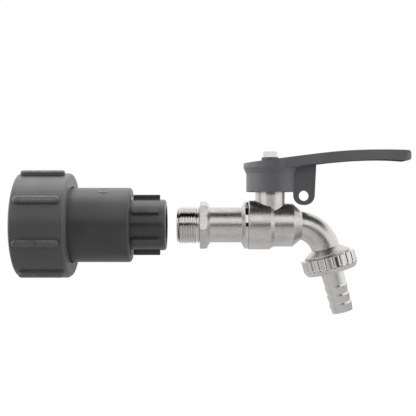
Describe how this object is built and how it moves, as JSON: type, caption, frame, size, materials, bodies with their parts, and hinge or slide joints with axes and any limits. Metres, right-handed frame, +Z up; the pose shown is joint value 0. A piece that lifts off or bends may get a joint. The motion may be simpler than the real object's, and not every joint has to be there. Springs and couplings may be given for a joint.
{
  "type": "tank outlet tap with coupling-nut adapter",
  "caption": "Plastic coupling-nut adapter for a bulk liquid container and the lever ball tap with bent spout and barbed hose nozzle that screws into it.",
  "frame": {"origin": "centre of the coupling nut's open mouth, where the tank's threaded outlet goes in", "axes": "+X along the pipe axis from the tank towards the tap, +Z up along the tap's stem, spout down"},
  "size_m": [0.2788, 0.0774, 0.117],
  "materials": {
    "nut_plastic": "dark grey moulded plastic, fine satin",
    "sleeve_plastic": "dark grey turned and moulded plastic, satin",
    "socket_plastic": "dark grey moulded plastic, semi-gloss",
    "nickel": "nickel-plated brass, shot-blasted satin with machined bright faces",
    "bright_nickel": "machined and nickel-plated brass",
    "ball_chrome": "polished chrome-plated brass",
    "lever_paint": "mid grey powder coat on a die-cast lever",
    "zinc": "bright zinc plating",
    "washer_steel": "dark spring steel",
    "white_seal": "white seat plastic",
    "black_rubber": "matte black rubber"
  },
  "bodies": {
    "adapter": {"collar_bush": "sleeve_plastic", "threaded_socket": "socket_plastic", "tank_gasket": "black_rubber"},
    "coupling_nut": {"coupling_nut": "nut_plastic"},
    "thread_seal": {"thread_seal": "bright_nickel"},
    "tap": {"inlet_neck": "nickel", "neck_seal": "black_rubber", "valve_body": "nickel", "inlet_seat": "white_seal", "outlet_seat": "white_seal", "thrust_washer": "white_seal", "stem_packing": "white_seal", "gland_nut": "bright_nickel"},
    "lever": {"lever": "lever_paint", "lever_bolt": "zinc", "lever_washer": "washer_steel", "stem": "bright_nickel", "ball": "ball_chrome"},
    "nozzle": {"hose_nozzle": "bright_nickel", "nozzle_gasket": "black_rubber"},
    "union_nut": {"union_nut": "bright_nickel"}
  },
  "joints": [
    {"name": "coupling_nut_turn", "type": "hinge", "parent": "adapter", "child": "coupling_nut", "pos_m": [0, 0, 0], "axis": [1, 0, 0], "continuous": true},
    {"name": "tap_travel", "type": "slide", "parent": "adapter", "child": "thread_seal", "axis": [-1, 0, 0], "range_m": [0, 0.0236]},
    {"name": "tap_screw", "type": "hinge", "parent": "thread_seal", "child": "tap", "pos_m": [0.1275, 0, 0], "axis": [-1, 0, 0], "range_deg": [0, 4680]},
    {"name": "lever_turn", "type": "hinge", "parent": "tap", "child": "lever", "pos_m": [0.1787, 0, 0], "axis": [0, 0, -1], "range_deg": [0, 90]},
    {"name": "nozzle_draw", "type": "slide", "parent": "tap", "child": "nozzle", "axis": [0.2588, 0, -0.9659], "range_m": [0, 0.00695]},
    {"name": "union_nut_turn", "type": "hinge", "parent": "nozzle", "child": "union_nut", "pos_m": [0.22103, 0, -0.02611], "axis": [0.2588, 0, -0.9659], "range_deg": [0, 1080]}
  ],
  "couplings": [
    {"joint": "tap_travel", "follows": "tap_screw", "m_per_rad": 0.00028875},
    {"joint": "nozzle_draw", "follows": "union_nut_turn", "m_per_rad": 0.0003675}
  ]
}
